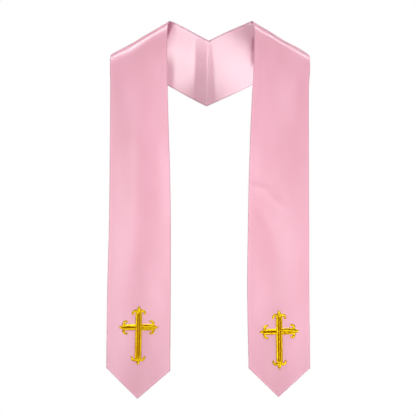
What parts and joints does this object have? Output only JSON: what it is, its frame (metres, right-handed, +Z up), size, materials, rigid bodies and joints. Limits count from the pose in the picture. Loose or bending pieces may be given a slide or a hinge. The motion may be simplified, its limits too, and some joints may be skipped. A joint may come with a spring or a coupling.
{
  "type": "choir stole",
  "caption": "Pink satin choir stole, held by its nape: a lined band over each shoulder, joined at the centre back, with a raised gold cross above each pointed end.",
  "frame": {"origin": "the nape: the inside of the lining's top edge at the centre back, where the stole sits on the back of the neck", "axes": "+X is the viewer's right as the stole is seen from the front, the front of the bands faces -Y, and +Z is up along the hanging bands"},
  "size_m": [0.4098, 0.1529, 0.7605],
  "materials": {
    "satin_face": "pink polyester satin, soft directional sheen",
    "satin_lining": "the same pink satin, as the lining that shows inside the neck",
    "gold_thread": "lustrous gold rayon satin stitch"
  },
  "bodies": {
    "root": {"left_face": "satin_face", "left_lining": "satin_lining", "left_cross": "gold_thread", "right_face": "satin_face", "right_lining": "satin_lining", "right_cross": "gold_thread"}
  },
  "joints": []
}
